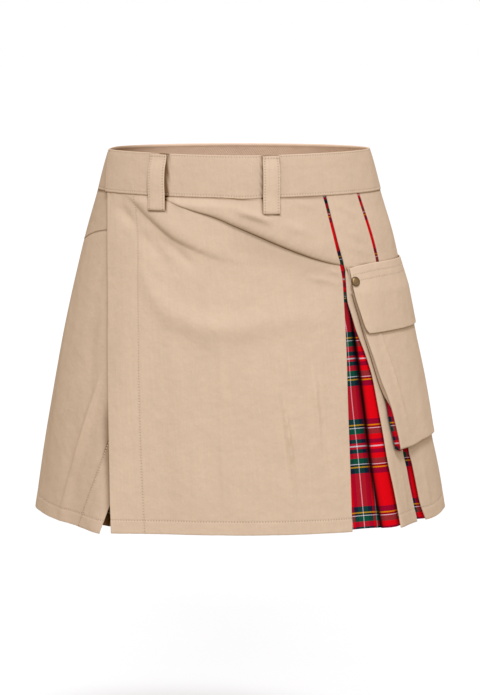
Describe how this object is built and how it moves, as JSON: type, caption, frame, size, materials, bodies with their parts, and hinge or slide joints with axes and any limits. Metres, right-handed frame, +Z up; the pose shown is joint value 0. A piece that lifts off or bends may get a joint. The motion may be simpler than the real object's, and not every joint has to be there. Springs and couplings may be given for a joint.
{
  "type": "tartan kilt in its hollow worn form, a tan utility wrap kilt with tartan pleat insets",
  "caption": "Short flared wrap kilt of tan twill in its hollow worn form, with a waistband, belt loops, pleats that open on tartan, and a flapped cargo pocket.",
  "frame": {"origin": "middle of the hollow waist, at half the waistband's height, where the wearer's waist holds the kilt", "axes": "+Z up along the wearer's body, -Y to the front of the kilt, +X to the wearer's left, across the widest part of the hem"},
  "size_m": [0.4565, 0.3448, 0.404],
  "materials": {
    "twill": "matt cotton twill, tan",
    "tartan": "soft twill-woven tartan, mostly red",
    "snap_metal": "antique, brushed and darkened"
  },
  "bodies": {
    "root": {"waistband": "twill", "front_apron": "twill", "under_apron": "twill", "side_yoke_right": "twill", "side_panel_right": "twill", "side_strip_right": "twill", "pleat_face_front": "twill", "side_panel_left": "twill", "pleat_back_1": "twill", "pleat_back_2": "twill", "pleat_back_3": "twill", "pleat_back_4": "twill", "pleat_back_5": "twill", "pleat_back_6": "twill", "tartan_inset_1": "tartan", "tartan_inset_2": "tartan", "tartan_inset_3": "tartan", "tartan_inset_4": "tartan", "tartan_inset_5": "tartan", "tartan_inset_6": "tartan", "tartan_inset_7": "tartan", "tartan_inset_8": "tartan", "tartan_inset_9": "tartan", "belt_loop_1": "twill", "belt_loop_2": "twill", "belt_loop_3": "twill", "belt_loop_4": "twill", "belt_loop_5": "twill", "pocket_front": "twill", "pocket_gusset": "tartan", "pocket_flap": "twill", "snap_cap": "snap_metal"}
  },
  "joints": []
}
